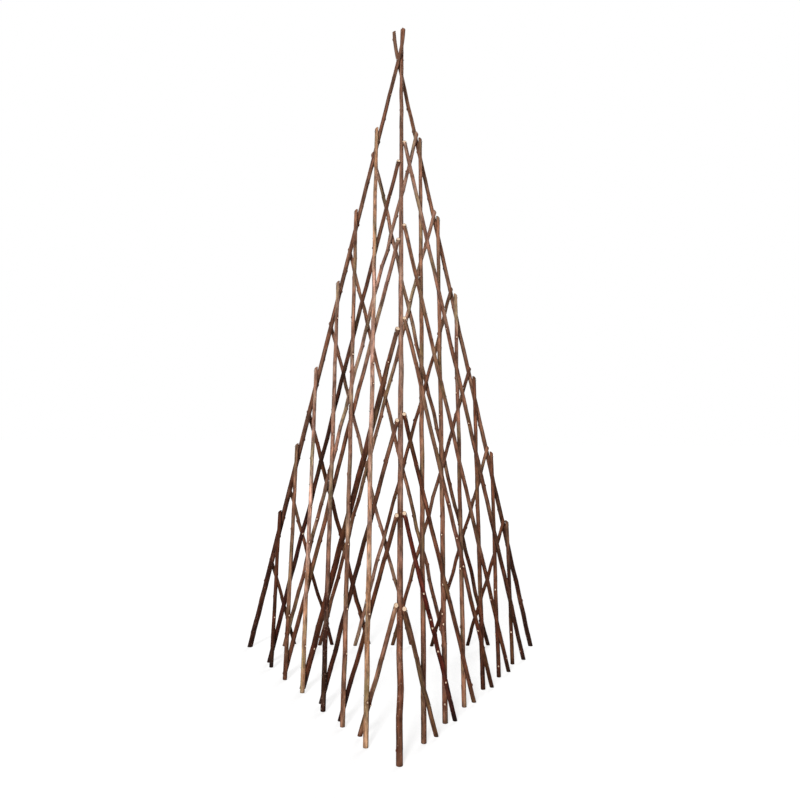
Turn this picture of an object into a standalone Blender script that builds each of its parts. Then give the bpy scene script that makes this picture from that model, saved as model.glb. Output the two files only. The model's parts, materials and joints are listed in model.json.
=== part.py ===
# Three sided pyramid trellis of unpeeled willow rods.
# Three long edge rods cross at the apex. Each of the three faces between them is a
# lattice of twelve lighter rods, six parallel to one edge and six parallel to the other,
# with one nail at every crossing. Every nail is a pivot, so the trellis folds like a
# scissor lattice when the edge rods are pushed together.
# Metres, +Z up. The front corner of the base points to -Y.
import bpy
import bmesh
import math
import numpy as np
from mathutils import Matrix
from mathutils import Vector

# Overall form
APEX_HEIGHT = 1.445
APEX_X = 0.0014
APEX_Y = 0.1029
BASE_SIDE = 0.742
FRONT_EDGE_OVERRUN = 0.091
RIGHT_EDGE_OVERRUN = 0.070
LEFT_EDGE_OVERRUN = 0.073

# Clearance left between pieces that touch on the real object
GAP = 0.0003

# Rod radii. All rods share the top radius, which sets the thickness of each layer. The foot
# radius is the one that a rod reaches over the whole length of an edge.
TOP_RADIUS = 0.0043
FOOT_RADIUS_FRONT_EDGE = 0.0062
FOOT_RADIUS_RIGHT_EDGE = 0.0060
FOOT_RADIUS_LEFT_EDGE = 0.0067
FOOT_RADIUS_LEFT_FRONT = (0.0053, 0.0052, 0.0060, 0.0058, 0.0060, 0.0062)
FOOT_RADIUS_LEFT_SIDE = (0.0057, 0.0057, 0.0050, 0.0060, 0.0058, 0.0062)
FOOT_RADIUS_RIGHT_FRONT = (0.0055, 0.0059, 0.0056, 0.0062, 0.0061, 0.0062)
FOOT_RADIUS_RIGHT_SIDE = (0.0056, 0.0050, 0.0052, 0.0055, 0.0056, 0.0052)
FOOT_RADIUS_BACK_LEFT = (0.0054, 0.0053, 0.0053, 0.0058, 0.0056, 0.0055)
FOOT_RADIUS_BACK_RIGHT = (0.0053, 0.0055, 0.0054, 0.0060, 0.0056, 0.0057)

# Sections are round, but for the stouter rods, which are wider across the face than they
# are thick, so that their layer is as thin as the rest of it.
WIDTHS = {
    "left_face_front_rod_3": 1.06, "left_face_front_rod_4": 1.08, "left_face_front_rod_5": 1.14,
    "left_face_front_rod_6": 1.16, "left_face_side_rod_3": 1.42, "left_face_side_rod_4": 1.07,
    "left_face_side_rod_6": 1.08, "right_face_front_rod_2": 1.12, "right_face_front_rod_4": 1.15,
    "right_face_front_rod_5": 1.20, "right_face_front_rod_6": 1.24, "back_face_right_rod_4": 1.16,
}

# Where the six rods of a set meet an edge rod: the drop from the apex to the first, the
# rise from the foot to the last, and how far each of them is off an even spacing.
LEFT_FACE_DROP_ON_FRONT = 0.284
LEFT_FACE_RISE_ON_FRONT = 0.267
LEFT_FACE_UNEVEN_ON_FRONT = (0.0, 0.007, 0.023, 0.030, 0.026, 0.0)
LEFT_FACE_DROP_ON_LEFT = 0.172
LEFT_FACE_RISE_ON_LEFT = 0.370
LEFT_FACE_UNEVEN_ON_LEFT = (0.0, 0.001, -0.015, 0.010, 0.015, 0.0)
RIGHT_FACE_DROP_ON_FRONT = 0.235
RIGHT_FACE_RISE_ON_FRONT = 0.258
RIGHT_FACE_UNEVEN_ON_FRONT = (0.0, 0.011, 0.027, 0.033, 0.027, 0.0)
RIGHT_FACE_DROP_ON_RIGHT = 0.190
RIGHT_FACE_RISE_ON_RIGHT = 0.342
RIGHT_FACE_UNEVEN_ON_RIGHT = (0.0, -0.005, -0.010, 0.006, 0.010, 0.0)
BACK_FACE_DROP_ON_RIGHT = 0.180
BACK_FACE_RISE_ON_RIGHT = 0.347
BACK_FACE_UNEVEN_ON_RIGHT = (0.0, -0.008, -0.017, -0.011, 0.001, 0.0)
BACK_FACE_DROP_ON_LEFT = 0.231
BACK_FACE_RISE_ON_LEFT = 0.238
BACK_FACE_UNEVEN_ON_LEFT = (0.0, 0.021, 0.0, 0.019, 0.011, 0.0)

# How far a rod runs on above its top nail, for the six rods of each set in turn
TAIL_AT_FRONT = (0.008, 0.009, 0.008, 0.009, 0.008, 0.008)
TAIL_AT_LEFT = (0.012, 0.009, 0.009, 0.010, 0.009, 0.009)
TAIL_AT_RIGHT = (0.009, 0.010, 0.009, 0.009, 0.010, 0.009)
TAIL_AT_RIGHT_BACK = (0.011, 0.012, 0.010, 0.010, 0.012, 0.010)
TAIL_AT_LEFT_BACK = (0.015, 0.012, 0.013, 0.012, 0.011, 0.012)

# Height of the cut foot of each lattice rod, in turn, so that only edge rods bear
FOOT_LIFT = (0.002, 0.004, 0.003, 0.005, 0.002, 0.004)

# Nails
NAIL_RADIUS = 0.0008
NAIL_HEAD_RADIUS = 0.0018
NAIL_HEAD_HEIGHT = 0.0007
NAIL_TIP_LENGTH = 0.0012
NAIL_PAST_CENTRE = 0.0015
NAIL_SHORT_OF_CENTRE = 0.0022
APEX_NAIL_SHORT_OF_CENTRE = 0.0028
# The back lattice is carried by the right edge, so its nails slide in slots in the left edge
SLOT_UP = 0.0042
SLOT_DOWN = 0.0020
SLOT_SIDE = 0.0008
SLOT_DEPTH = 0.0012
LEFT_EDGE_CLEARANCE = 0.0008

# Small sideways crook of a rod between its nails, and the slope of its cut top
CROOK = 0.0014
CUT_SLOPE = math.radians(38.0)
EDGE_SIDES = 12
ROD_SIDES = 8
NAIL_SIDES = 6

# Bark colours: name, base colour, roughness
BARKS = {
    "red_brown": ((0.150, 0.052, 0.034), 0.62),
    "olive_brown": ((0.135, 0.088, 0.042), 0.66),
    "tan": ((0.330, 0.200, 0.100), 0.64),
    "dark": ((0.055, 0.030, 0.020), 0.60),
}
NAIL_COLOUR = (0.42, 0.40, 0.37)


def unit(v):
    v = np.array(v, float)
    return v / np.linalg.norm(v)


# Frame of the pyramid: apex, edge directions and outward face normals
RADIUS_OF_BASE = BASE_SIDE / math.sqrt(3.0)
APEX = np.array([APEX_X, APEX_Y, APEX_HEIGHT])
EDGE_LENGTH = math.hypot(APEX_HEIGHT, RADIUS_OF_BASE)
FRONT_DIR = unit([0.0, -RADIUS_OF_BASE, -APEX_HEIGHT])
RIGHT_DIR = unit([BASE_SIDE / 2.0, RADIUS_OF_BASE / 2.0, -APEX_HEIGHT])
LEFT_DIR = unit([-BASE_SIDE / 2.0, RADIUS_OF_BASE / 2.0, -APEX_HEIGHT])
RIGHT_NORMAL = unit(np.cross(FRONT_DIR, RIGHT_DIR))
BACK_NORMAL = unit(np.cross(RIGHT_DIR, LEFT_DIR))
LEFT_NORMAL = unit(np.cross(LEFT_DIR, FRONT_DIR))

# Nail axes. They lie level, square to the base lines, with a small trim that lets the
# three faces fold together.
RIGHT_AXIS = unit([math.sqrt(3.0) / 2.0, -0.5, -0.0133])
LEFT_AXIS = unit([-math.sqrt(3.0) / 2.0, -0.5, -0.0050])
BACK_AXIS = unit([-0.0070, 1.0, -0.0063])


def layer(radius):
    """Distance from a contact plane to the centre of a rod that lies against it."""
    return radius + GAP / 2.0


def edge_radius(foot, t):
    return TOP_RADIUS + (foot - TOP_RADIUS) * max(t, 0.0) / EDGE_LENGTH


TWO_LAYERS = 2.0 * layer(TOP_RADIUS)


def spaced(drop, rise, uneven):
    """Distances from the apex down an edge at which the rods of a set meet it."""
    step = (EDGE_LENGTH - drop - rise) / (len(uneven) - 1)
    return tuple(drop + k * step + off for k, off in enumerate(uneven))


LEFT_ON_FRONT = spaced(LEFT_FACE_DROP_ON_FRONT, LEFT_FACE_RISE_ON_FRONT, LEFT_FACE_UNEVEN_ON_FRONT)
LEFT_ON_LEFT = spaced(LEFT_FACE_DROP_ON_LEFT, LEFT_FACE_RISE_ON_LEFT, LEFT_FACE_UNEVEN_ON_LEFT)
RIGHT_ON_FRONT = spaced(RIGHT_FACE_DROP_ON_FRONT, RIGHT_FACE_RISE_ON_FRONT,
                        RIGHT_FACE_UNEVEN_ON_FRONT)
RIGHT_ON_RIGHT = spaced(RIGHT_FACE_DROP_ON_RIGHT, RIGHT_FACE_RISE_ON_RIGHT,
                        RIGHT_FACE_UNEVEN_ON_RIGHT)
BACK_ON_RIGHT = spaced(BACK_FACE_DROP_ON_RIGHT, BACK_FACE_RISE_ON_RIGHT, BACK_FACE_UNEVEN_ON_RIGHT)
BACK_ON_LEFT = spaced(BACK_FACE_DROP_ON_LEFT, BACK_FACE_RISE_ON_LEFT, BACK_FACE_UNEVEN_ON_LEFT)
ROWS = len(LEFT_ON_FRONT)


class EdgeRod:
    """A long rod on a corner of the pyramid, seated against the planes of two faces."""

    width = 1.0

    def __init__(self, name, direction, foot, overrun, planes, bark):
        self.name = name
        self.direction = direction
        self.foot = foot
        self.overrun = overrun
        self.planes = planes
        self.bark = bark

    def radius(self, t):
        return edge_radius(self.foot, t)

    def centre(self, t):
        (n1, side1, level1), (n2, side2, level2) = self.planes
        offset = layer(self.radius(t))
        rows = np.array([self.direction, n1, n2])
        levels = [0.0, side1 * offset + level1, side2 * offset + level2]
        return APEX + t * self.direction + np.linalg.solve(rows, levels)


FRONT_EDGE = EdgeRod("front_edge_rod", FRONT_DIR, FOOT_RADIUS_FRONT_EDGE, FRONT_EDGE_OVERRUN,
                     ((RIGHT_NORMAL, -1, TWO_LAYERS), (LEFT_NORMAL, -1, 0.0)), "red_brown")
RIGHT_EDGE = EdgeRod("right_edge_rod", RIGHT_DIR, FOOT_RADIUS_RIGHT_EDGE, RIGHT_EDGE_OVERRUN,
                     ((RIGHT_NORMAL, -1, 0.0), (BACK_NORMAL, 1, 0.0)), "olive_brown")
LEFT_EDGE = EdgeRod("left_edge_rod", LEFT_DIR, FOOT_RADIUS_LEFT_EDGE, LEFT_EDGE_OVERRUN,
                    ((LEFT_NORMAL, -1, TWO_LAYERS), (BACK_NORMAL, -1, -LEFT_EDGE_CLEARANCE)),
                    "red_brown")


class Face:
    """The plane between the inner and outer rods of a face, with the nail axis there.
    rise is how far that plane lies outside the apex point."""

    def __init__(self, normal, axis, first, second, rise):
        self.normal = normal
        self.rise = rise
        self.axis = axis
        self.lift = 1.0 / float(normal @ axis)
        p0, p1 = self.on_plane(first.centre(0.0)), self.on_plane(first.centre(EDGE_LENGTH))
        q0, q1 = self.on_plane(second.centre(0.0)), self.on_plane(second.centre(EDGE_LENGTH))
        self.u = (p1 - p0) / EDGE_LENGTH
        self.v = (q1 - q0) / EDGE_LENGTH
        solved = np.linalg.lstsq(np.array([self.u, -self.v]).T, q0 - p0, rcond=None)[0]
        self.corner = p0 + solved[0] * self.u

    def on_plane(self, point):
        """Carry a point along the nail axis onto the contact plane of the face."""
        depth = float((point - APEX) @ self.normal) - self.rise
        return point - depth * self.lift * self.axis

    def node(self, a, b):
        return self.corner + a * self.u + b * self.v

    def level(self, point, height):
        """Move a point off the contact plane along the nail axis to a given height."""
        return point + height * self.lift * self.axis


RIGHT_FACE = Face(RIGHT_NORMAL, RIGHT_AXIS, FRONT_EDGE, RIGHT_EDGE, TWO_LAYERS)
LEFT_FACE = Face(LEFT_NORMAL, LEFT_AXIS, FRONT_EDGE, LEFT_EDGE, TWO_LAYERS)
BACK_FACE = Face(BACK_NORMAL, BACK_AXIS, RIGHT_EDGE, LEFT_EDGE, 0.0)


class LatticeRod:
    """A rod of one face: it starts at a node on an edge and runs parallel to the other edge."""

    def __init__(self, name, face, top, direction, side, foot, tail, lift, nodes, bark):
        self.name = name
        self.face = face
        self.top = top
        self.direction = direction
        self.side = side
        self.foot = foot
        self.tail = tail
        self.lift = lift
        self.nodes = nodes
        self.bark = bark
        self.width = WIDTHS.get(name, 1.0)
        self.end = (top[2] - lift) / -direction[2]

    def radius(self, t):
        return edge_radius(self.foot, t)

    def centre(self, t):
        height = self.side * layer(self.radius(t))
        return self.face.level(self.top + t * self.direction, height)


def lattice_rods():
    """All thirty six face rods, with the nodes that they cross below their top nail."""
    rods = []

    def family(label, face, tops, along_u, side, foot, tails, crossings, barks):
        for i in range(ROWS):
            top = face.node(tops[i], 0.0) if along_u else face.node(0.0, tops[i])
            direction = face.v if along_u else face.u
            nodes = [c for k, c in enumerate(crossings) if i + k < ROWS]
            rods.append(LatticeRod(f"{label}_{i + 1}", face, top, direction, side, foot[i],
                                   tails[i], FOOT_LIFT[i], nodes, barks[i]))

    family("left_face_front_rod", LEFT_FACE, LEFT_ON_LEFT, False, 1, FOOT_RADIUS_LEFT_FRONT,
           TAIL_AT_LEFT, LEFT_ON_FRONT, ("tan", "tan", "red_brown", "tan", "olive_brown", "red_brown"))
    family("left_face_side_rod", LEFT_FACE, LEFT_ON_FRONT, True, -1, FOOT_RADIUS_LEFT_SIDE,
           TAIL_AT_FRONT, LEFT_ON_LEFT, ("dark", "red_brown", "dark", "dark", "olive_brown", "dark"))
    family("right_face_front_rod", RIGHT_FACE, RIGHT_ON_RIGHT, False, -1, FOOT_RADIUS_RIGHT_FRONT,
           TAIL_AT_RIGHT, RIGHT_ON_FRONT,
           ("red_brown", "red_brown", "olive_brown", "red_brown", "tan", "red_brown"))
    family("right_face_side_rod", RIGHT_FACE, RIGHT_ON_FRONT, True, 1, FOOT_RADIUS_RIGHT_SIDE,
           TAIL_AT_FRONT, RIGHT_ON_RIGHT,
           ("red_brown", "tan", "red_brown", "olive_brown", "red_brown", "tan"))
    family("back_face_left_rod", BACK_FACE, BACK_ON_RIGHT, True, -1, FOOT_RADIUS_BACK_LEFT,
           TAIL_AT_RIGHT_BACK, BACK_ON_LEFT,
           ("olive_brown", "dark", "red_brown", "olive_brown", "dark", "red_brown"))
    family("back_face_right_rod", BACK_FACE, BACK_ON_LEFT, False, 1, FOOT_RADIUS_BACK_RIGHT,
           TAIL_AT_LEFT_BACK, BACK_ON_RIGHT,
           ("dark", "olive_brown", "dark", "red_brown", "olive_brown", "dark"))
    return rods


RODS = lattice_rods()
BY_NAME = {rod.name: rod for rod in RODS + [FRONT_EDGE, RIGHT_EDGE, LEFT_EDGE]}


class Nail:
    """One nail: its node on the contact plane, the heights of its head and tip, the rod
    that holds it fast, or None for a separate pin, and the rods that turn on it."""

    def __init__(self, face, point, head, tip, carrier, turning, name=None, slotted=None):
        self.face = face
        self.point = point
        self.head = head
        self.tip = tip
        self.carrier = carrier
        self.turning = turning
        self.name = name
        self.slotted = slotted


def face_nails(face, on_u, on_v, outer_label, inner_label, outer_along_u):
    """The twenty one nails where the two sets of rods of a face cross each other."""
    nails = []
    for i in range(ROWS):
        for j in range(ROWS - i):
            outer = BY_NAME[f"{outer_label}_{(i if outer_along_u else j) + 1}"]
            inner = BY_NAME[f"{inner_label}_{(j if outer_along_u else i) + 1}"]
            t_outer = on_v[j] if outer_along_u else on_u[i]
            t_inner = on_u[i] if outer_along_u else on_v[j]
            nails.append(Nail(face, face.node(on_u[i], on_v[j]), 2.0 * layer(outer.radius(t_outer)),
                              -layer(inner.radius(t_inner)) - NAIL_PAST_CENTRE,
                              outer.name, (inner.name,)))
    return nails


def top_nails(face, tops, along_u, label, edge, outside, slotted=False):
    """The nails in the tops of one set of rods, which turn in an edge rod. The set lies
    outside the contact plane, or between that plane and the edge rod."""
    nails = []
    for i in range(ROWS):
        rod = BY_NAME[f"{label}_{i + 1}"]
        point = face.node(tops[i], 0.0) if along_u else face.node(0.0, tops[i])
        head = 2.0 * layer(rod.radius(0.0)) if outside else 0.0
        base = 0.0 if outside else -TWO_LAYERS
        tip = base - GAP / 2.0 - (edge.radius(tops[i]) - NAIL_SHORT_OF_CENTRE)
        nails.append(Nail(face, point, head, tip, rod.name, (edge.name,),
                          slotted=edge.name if slotted else None))
    return nails


def right_edge_nails():
    """On the back face the right edge rod is outermost, so it holds the nails there."""
    nails = []
    for i in range(ROWS):
        rod = BY_NAME[f"back_face_left_rod_{i + 1}"]
        point = BACK_FACE.node(BACK_ON_RIGHT[i], 0.0)
        nails.append(Nail(BACK_FACE, point, 2.0 * layer(RIGHT_EDGE.radius(BACK_ON_RIGHT[i])),
                          -layer(rod.radius(0.0)) - NAIL_PAST_CENTRE, RIGHT_EDGE.name, (rod.name,)))
    return nails


def apex_pins():
    """Three loose pins, one for each pair of edge rods."""
    bite = GAP / 2.0 + TOP_RADIUS - APEX_NAIL_SHORT_OF_CENTRE
    deep = -TWO_LAYERS - bite
    shallow = -bite
    return [
        Nail(RIGHT_FACE, RIGHT_FACE.corner, 0.0, deep, None, (FRONT_EDGE.name, RIGHT_EDGE.name),
             name="apex_nail_front_right"),
        Nail(LEFT_FACE, LEFT_FACE.corner, 0.0, deep, None, (LEFT_EDGE.name, FRONT_EDGE.name),
             name="apex_nail_front_left"),
        Nail(BACK_FACE, BACK_FACE.corner, TWO_LAYERS, shallow, None,
             (RIGHT_EDGE.name, LEFT_EDGE.name), name="apex_nail_back", slotted=LEFT_EDGE.name),
    ]


def all_nails():
    return (
        face_nails(LEFT_FACE, LEFT_ON_FRONT, LEFT_ON_LEFT,
                   "left_face_front_rod", "left_face_side_rod", False)
        + face_nails(RIGHT_FACE, RIGHT_ON_FRONT, RIGHT_ON_RIGHT,
                     "right_face_side_rod", "right_face_front_rod", True)
        + face_nails(BACK_FACE, BACK_ON_RIGHT, BACK_ON_LEFT,
                     "back_face_right_rod", "back_face_left_rod", False)
        + top_nails(LEFT_FACE, LEFT_ON_FRONT, True, "left_face_side_rod", FRONT_EDGE, False)
        + top_nails(LEFT_FACE, LEFT_ON_LEFT, False, "left_face_front_rod", LEFT_EDGE, True)
        + top_nails(RIGHT_FACE, RIGHT_ON_FRONT, True, "right_face_side_rod", FRONT_EDGE, True)
        + top_nails(RIGHT_FACE, RIGHT_ON_RIGHT, False, "right_face_front_rod", RIGHT_EDGE, False)
        + top_nails(BACK_FACE, BACK_ON_LEFT, False, "back_face_right_rod", LEFT_EDGE, True, True)
        + right_edge_nails()
        + apex_pins()
    )


NAILS = all_nails()
# END OF FIGURES: everything below makes the Blender objects.


def clear_scene():
    for obj in list(bpy.data.objects):
        bpy.data.objects.remove(obj, do_unlink=True)


def make_material(name, colour, roughness, metallic):
    material = bpy.data.materials.new(name)
    material.use_nodes = True
    shader = material.node_tree.nodes["Principled BSDF"]
    shader.inputs["Base Color"].default_value = (*colour, 1.0)
    shader.inputs["Roughness"].default_value = roughness
    shader.inputs["Metallic"].default_value = metallic
    return material


def flat_angles(axis, normals, sides):
    """Angles of the flats of a rod, so that one flat faces each contact plane it lies on."""
    n0 = normals[0]
    b0 = np.cross(axis, n0)
    if len(normals) == 1:
        return n0, b0, [2.0 * math.pi * k / sides for k in range(sides)]
    turn = math.atan2(float(normals[1] @ b0), float(normals[1] @ n0)) % math.pi
    half = sides // 2
    first = max(1, round(half * turn / math.pi))
    angles = [turn * k / first for k in range(first)]
    angles += [turn + (math.pi - turn) * k / (half - first) for k in range(half - first)]
    return n0, b0, angles + [a + math.pi for a in angles]


def ring(centre, radius, width, n0, b0, angles, axis, slope, level_plane):
    """One ring of vertices whose flats are tangent to the rod's radius. A width over one
    makes it an oval that is wider across the face."""
    points = []
    count = len(angles)
    for k in range(count):
        a0 = angles[k]
        a1 = angles[(k + 1) % count] + (2.0 * math.pi if k + 1 == count else 0.0)
        mid = (a0 + a1) / 2.0
        reach = radius / math.cos((a1 - a0) / 2.0)
        offset = reach * (math.cos(mid) * n0 + width * math.sin(mid) * b0)
        point = centre + offset
        if slope is not None:
            point = point - axis * float(offset @ slope[0]) * math.tan(slope[1])
        if level_plane is not None:
            point = point + axis * (level_plane - point[2]) / axis[2]
        points.append(point)
    return points


def loft(name, rings):
    """Join rings of vertices into one closed rod with flat ends."""
    bm = bmesh.new()
    rows = [[bm.verts.new(Vector(p)) for p in points] for points in rings]
    count = len(rows[0])
    for upper, lower in zip(rows, rows[1:]):
        for k in range(count):
            m = (k + 1) % count
            bm.faces.new((upper[k], upper[m], lower[m], lower[k]))
    bm.faces.new(list(reversed(rows[0])))
    bm.faces.new(rows[-1])
    bmesh.ops.recalc_face_normals(bm, faces=bm.faces)
    mesh = bpy.data.meshes.new(name)
    bm.to_mesh(mesh)
    bm.free()
    return mesh


def add_object(name, mesh, origin, material):
    """Place a mesh given in world coordinates so that the object's origin is its pivot."""
    mesh.transform(Matrix.Translation(-Vector(origin)))
    obj = bpy.data.objects.new(name, mesh)
    obj.location = Vector(origin)
    obj.data.materials.append(material)
    bpy.context.scene.collection.objects.link(obj)
    return obj


def rod_stations(rod, nodes, start, end):
    """Stations of the rings: both ends and the middle of every span between nails."""
    marks = [0.0] + list(nodes)
    middles = [(a + b) / 2.0 for a, b in zip(marks, marks[1:])]
    return [start] + middles + [end]


def rod_mesh(rod, normals, sides, start, end, nodes, slope, foot_height):
    axis = rod.direction
    n0, b0, angles = flat_angles(unit(axis), normals, sides)
    stations = rod_stations(rod, nodes, start, end)
    rings = []
    for k, t in enumerate(stations):
        inside = 0 < k < len(stations) - 1
        sway = CROOK * (-1) ** k if inside and len(normals) == 1 else 0.0
        centre = rod.centre(t) + sway * b0
        cut = slope if k == 0 else None
        plane = foot_height if k == len(stations) - 1 else None
        rings.append(ring(centre, rod.radius(t), rod.width, n0, b0, angles, axis, cut, plane))
    return loft(rod.name, rings)


def make_edge_rod(rod, pivot):
    colour, roughness = BARKS[rod.bark]
    material = make_material(rod.name + "_bark", colour, roughness, 0.0)
    normals = [rod.planes[0][0], rod.planes[1][0]]
    end = rod.centre(0.0)[2] / -rod.direction[2]
    slope = (normals[0], math.radians(12.0))
    thirds = (EDGE_LENGTH / 3.0, 2.0 * EDGE_LENGTH / 3.0)
    mesh = rod_mesh(rod, normals, EDGE_SIDES, -rod.overrun, end, thirds, slope, 0.0)
    return add_object(rod.name, mesh, pivot, material)


def make_lattice_rod(rod):
    colour, roughness = BARKS[rod.bark]
    material = make_material(rod.name + "_bark", colour, roughness, 0.0)
    slope = (rod.face.normal, CUT_SLOPE)
    mesh = rod_mesh(rod, [rod.face.normal], ROD_SIDES, -rod.tail, rod.end, rod.nodes, slope, rod.lift)
    return add_object(rod.name, mesh, rod.centre(0.0), material)


def prism_rings(base, axis, profile, sides):
    """Rings of a small turned or prismatic piece along an axis: profile is (height, radius)."""
    across = unit(np.cross(axis, [0.0, 0.0, 1.0]))
    along = np.cross(across, axis)
    rings = []
    for height, radius in profile:
        rings.append([base + height * axis + radius * (math.cos(2.0 * math.pi * k / sides) * across
                                                       + math.sin(2.0 * math.pi * k / sides) * along)
                      for k in range(sides)])
    return rings


def head_seat(nail):
    """Height of the underside of a nail head along the nail axis. A head of a loose pin
    stays clear of the tilted bark, and the others are driven a little into it."""
    tilt = math.acos(min(1.0, float(nail.face.normal @ nail.face.axis)))
    surface = (nail.head - GAP / 2.0) * nail.face.lift
    if nail.carrier is None:
        return surface + NAIL_HEAD_RADIUS * math.tan(tilt) + GAP
    return surface - NAIL_HEAD_RADIUS * math.tan(tilt) - GAP


def nail_mesh(nail):
    seat = head_seat(nail)
    height = NAIL_HEAD_HEIGHT if nail.carrier is None else 2.0 * NAIL_HEAD_HEIGHT
    tip = nail.tip * nail.face.lift
    profile = [(tip, NAIL_RADIUS * 0.35), (tip + NAIL_TIP_LENGTH, NAIL_RADIUS), (seat, NAIL_RADIUS),
               (seat, NAIL_HEAD_RADIUS), (seat + height, NAIL_HEAD_RADIUS * 0.8)]
    return loft("nail", prism_rings(nail.point, nail.face.axis, profile, NAIL_SIDES))


def hole_mesh(nail, rod_name):
    """The hole for one nail in one rod: a prism, or a slot where the nail has to slide."""
    reach = head_seat(nail) + 2.0 * NAIL_HEAD_HEIGHT
    bottom = nail.tip * nail.face.lift - (SLOT_DEPTH if nail.slotted == rod_name else GAP)
    radius = NAIL_RADIUS + GAP
    rings = prism_rings(nail.point, nail.face.axis, [(bottom, radius), (reach, radius)], NAIL_SIDES)
    if nail.slotted == rod_name:
        down = BY_NAME[rod_name].direction
        side = unit(np.cross(down, nail.face.axis))
        for points in rings:
            middle = sum(points) / len(points)
            for k, p in enumerate(points):
                run = SLOT_DOWN if float((p - middle) @ down) > 0.0 else -SLOT_UP
                spread = SLOT_SIDE if float((p - middle) @ side) > 0.0 else -SLOT_SIDE
                points[k] = p + run * down + spread * side
    return loft("hole", rings)


def guide_object(name, meshes):
    """One hidden object that holds all cutters, or all nails, of a rod."""
    bm = bmesh.new()
    for mesh in meshes:
        bm.from_mesh(mesh)
        bpy.data.meshes.remove(mesh)
    joined = bpy.data.meshes.new(name)
    bm.to_mesh(joined)
    bm.free()
    guide = bpy.data.objects.new(name, joined)
    guide.display_type = "WIRE"
    guide.hide_render = True
    bpy.context.scene.collection.objects.link(guide)
    return guide


def add_boolean(obj, label, operation, guide):
    modifier = obj.modifiers.new(label, "BOOLEAN")
    modifier.operation = operation
    modifier.solver = "EXACT"
    modifier.object = guide


def fit_nails(name, obj):
    """Drill the holes in which nails turn, then set the nails that the rod holds fast."""
    turning = [nail for nail in NAILS if name in nail.turning]
    held = [nail for nail in NAILS if nail.carrier == name]
    if turning:
        holes = guide_object(name + "_holes", [hole_mesh(nail, name) for nail in turning])
        add_boolean(obj, "nail_holes", "DIFFERENCE", holes)
    if held:
        nails = guide_object(name + "_nails", [nail_mesh(nail) for nail in held])
        add_boolean(obj, "nails", "UNION", nails)


def build():
    clear_scene()
    objects = {}
    pivots = {FRONT_EDGE.name: RIGHT_FACE.corner, RIGHT_EDGE.name: RIGHT_FACE.corner,
              LEFT_EDGE.name: LEFT_FACE.corner}
    for rod in (FRONT_EDGE, RIGHT_EDGE, LEFT_EDGE):
        objects[rod.name] = make_edge_rod(rod, pivots[rod.name])
    for rod in RODS:
        objects[rod.name] = make_lattice_rod(rod)
    for name, obj in objects.items():
        fit_nails(name, obj)
    steel = make_material("nail_steel", NAIL_COLOUR, 0.42, 1.0)
    for nail in NAILS:
        if nail.carrier is None:
            add_object(nail.name, nail_mesh(nail), nail.point, steel)


build()
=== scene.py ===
"""Looks of the pyramid trellis: willow bark, buds, trimmed twigs, cut ends and wire nails.

Every rod is made again as a fine mesh on the axis of its solid, which is measured from
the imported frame. Metres, +Z up, front corner towards -Y. A rod's axis points down, its
station t is 0 at the foot and falls towards the top.
"""
import json
import math
import random

import bmesh
import bpy
import numpy as np
from mathutils import Matrix, Vector, noise


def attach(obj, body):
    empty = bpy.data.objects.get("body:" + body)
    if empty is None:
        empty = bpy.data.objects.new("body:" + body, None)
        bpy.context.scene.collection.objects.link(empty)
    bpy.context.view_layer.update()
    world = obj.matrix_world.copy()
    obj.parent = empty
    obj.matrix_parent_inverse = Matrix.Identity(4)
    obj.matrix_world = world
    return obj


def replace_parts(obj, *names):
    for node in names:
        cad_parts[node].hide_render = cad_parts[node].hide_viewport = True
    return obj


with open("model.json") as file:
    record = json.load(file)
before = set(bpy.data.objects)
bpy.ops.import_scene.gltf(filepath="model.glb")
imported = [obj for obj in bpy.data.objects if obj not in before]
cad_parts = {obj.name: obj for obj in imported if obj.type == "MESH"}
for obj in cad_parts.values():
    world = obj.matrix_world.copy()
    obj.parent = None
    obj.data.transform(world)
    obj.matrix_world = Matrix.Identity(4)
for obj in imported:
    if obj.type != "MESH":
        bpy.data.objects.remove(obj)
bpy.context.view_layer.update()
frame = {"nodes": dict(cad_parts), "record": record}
BEHAVIOUR = frame["record"]["behaviour"]

# Camera, fitted to the photograph, in the fitted frame: its place, turn, tilt and lens
FIT_CENTRE = Vector((0.0014, 0.1029, 0.0))
FIT_TURN = Matrix.Rotation(math.radians(-1.39), 3, "Z")
CAMERA_PLACE = FIT_CENTRE + FIT_TURN @ Vector((0.0097, -1.6905, 0.6159))
CAMERA_PITCH = math.radians(0.92)
CAMERA_ROLL = math.radians(0.61)
FOCAL_PIXELS = 721.2
IMAGE_PIXELS = 800.0
SENSOR_MM = 36.0

# Measuring a solid: its foot, the fit of its axis, and what counts as a nail or as touching
FOOT_BAND = 0.0002
FIT_PASSES = 3
FIT_STATIONS = 70
FIT_BELOW_TOP = 0.020
FIT_ABOVE_FOOT = 0.004
FEWEST_CUTS = 6
NAIL_BULGE = 0.0006
TOP_TRIM = 0.0015
TOUCH_GAP = 0.0015
PARALLEL = 1e-4
# A point inside the trellis, which tells outward from inward
INSIDE = np.array((0.0, 0.1, 0.5))

# Rod mesh: sides, spacing of its rows, how far the bark stays inside the solid, and its lumps
SIDES = 20
STATION = 0.009
LAST_ROW = 0.002
TOP_MARGIN = 0.0005
FOOT_MARGIN = 0.0015
SKIN = 0.0001
LUMP = 0.00016
LUMP_ROUND = 1.3
LUMP_WAVES = 70.0
# Rows close to a bud, counted from it, and the run that they fill
FINE_STEPS = (-0.006, -0.0035, -0.0015, 0.0, 0.0015, 0.0035, 0.006)
FINE_RUN = 0.0075

# Slanting cuts: their slopes, and the run below the top that they bend
TOP_CUT = math.radians(38.0)
EDGE_TOP_CUT = math.radians(12.0)
CUT_RUN = 0.026
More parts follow.
